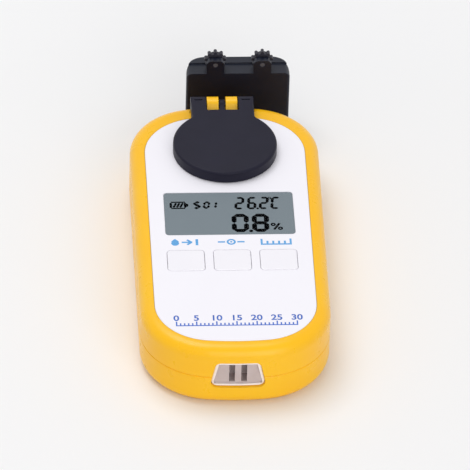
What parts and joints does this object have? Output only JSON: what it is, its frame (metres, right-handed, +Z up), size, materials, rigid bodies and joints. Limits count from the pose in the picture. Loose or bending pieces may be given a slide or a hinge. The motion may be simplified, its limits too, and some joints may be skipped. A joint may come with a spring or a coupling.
{
  "type": "digital refractometer",
  "caption": "Handheld digital refractometer: rounded yellow housing, white face with display and keys, hinged round cover over a steel sample well, and a separate black block.",
  "frame": {"origin": "centre of the flat underside of the housing, on the surface it rests on", "axes": "+X to the right of someone who reads the display, +Y towards the hinge end, +Z up out of the front face"},
  "size_m": [0.0584, 0.138, 0.0325],
  "materials": {
    "yellow_shell": "fine satin moulded ABS",
    "yellow_shell_lower": "fine satin moulded ABS",
    "yellow_cover": "fine satin moulded ABS",
    "gasket_rubber": "matte",
    "white_panel": "smooth satin",
    "window_acrylic": "clear polished acrylic",
    "frame_plastic": "matte",
    "display_glass": "reflective display with dark segments",
    "contact_rubber": "matte",
    "white_keys": "smooth satin",
    "spring_steel": "bright",
    "circuit_board": "solder mask",
    "board_parts": "moulded epoxy",
    "screw_steel": "zinc plated",
    "stainless": "fine turned",
    "prism_glass": "polished",
    "seal_rubber": "matte",
    "black_moulding": "matte",
    "lamp_resin": "clear tinted resin",
    "lens_glass": "polished",
    "probe_metal": "plain",
    "battery_sleeve": "satin sleeve",
    "white_insert": "satin",
    "black_cover": "fine satin",
    "lining_foam": "closed-cell foam",
    "pin_steel": "ground",
    "black_block": "fine satin",
    "grey_wheel": "satin"
  },
  "bodies": {
    "housing": {"upper_housing": "yellow_shell", "lower_housing": "yellow_shell_lower", "housing_gasket": "gasket_rubber", "front_panel": "white_panel", "display_window": "window_acrylic", "display_frame": "frame_plastic", "display_glass": "display_glass", "contact_strips": "contact_rubber", "dome_switches": "spring_steel", "main_board": "circuit_board", "board_parts": "board_parts", "board_screws": "screw_steel", "sample_well": "stainless", "prism": "prism_glass", "prism_seal": "seal_rubber", "optics_block": "black_moulding", "optics_screws": "screw_steel", "light_source": "lamp_resin", "collimating_lens": "lens_glass", "image_sensor": "board_parts", "sensor_board": "circuit_board", "temperature_probes": "probe_metal", "battery": "battery_sleeve", "battery_plate": "spring_steel", "battery_spring": "spring_steel", "housing_screws": "screw_steel", "strap_insert": "white_insert", "hinge_pin": "pin_steel"},
    "cover": {"sample_cover": "black_cover", "cover_lining": "lining_foam", "cover_seal": "seal_rubber"},
    "read_button": {"read_key": "white_keys"},
    "calibrate_button": {"calibrate_key": "white_keys"},
    "scale_button": {"scale_key": "white_keys"},
    "battery_door": {"battery_cover": "yellow_cover"},
    "block": {"block_shell": "black_block", "block_base": "black_block", "wheel_axles": "pin_steel"},
    "wheel_left": {"toothed_wheel_left": "grey_wheel"},
    "wheel_right": {"toothed_wheel_right": "grey_wheel"}
  },
  "joints": [
    {"name": "cover_hinge", "type": "hinge", "parent": "housing", "child": "cover", "pos_m": [0, 0.0579, 0.0226], "axis": [-1, 0, 0], "range_deg": [0, 100]},
    {"name": "read_press", "type": "slide", "parent": "housing", "child": "read_button", "axis": [0, 0, -1], "range_m": [0, 0.0005], "stiffness_N_per_m": 400, "springref_m": -0.0005},
    {"name": "calibrate_press", "type": "slide", "parent": "housing", "child": "calibrate_button", "axis": [0, 0, -1], "range_m": [0, 0.0005], "stiffness_N_per_m": 400, "springref_m": -0.0005},
    {"name": "scale_press", "type": "slide", "parent": "housing", "child": "scale_button", "axis": [0, 0, -1], "range_m": [0, 0.0005], "stiffness_N_per_m": 400, "springref_m": -0.0005},
    {"name": "battery_cover_slide", "type": "slide", "parent": "housing", "child": "battery_door", "axis": [0, -1, 0], "range_m": [0, 0.04]},
    {"name": "block_lift", "type": "slide", "parent": "housing", "child": "block", "axis": [0, 0, 1], "range_m": [0, 0.03]},
    {"name": "wheel_left_turn", "type": "hinge", "parent": "block", "child": "wheel_left", "pos_m": [-0.00158, 0.07255, 0.029], "axis": [0, 1, 0], "continuous": true},
    {"name": "wheel_right_turn", "type": "hinge", "parent": "block", "child": "wheel_right", "pos_m": [0.01307, 0.07255, 0.029], "axis": [0, 1, 0], "continuous": true}
  ]
}
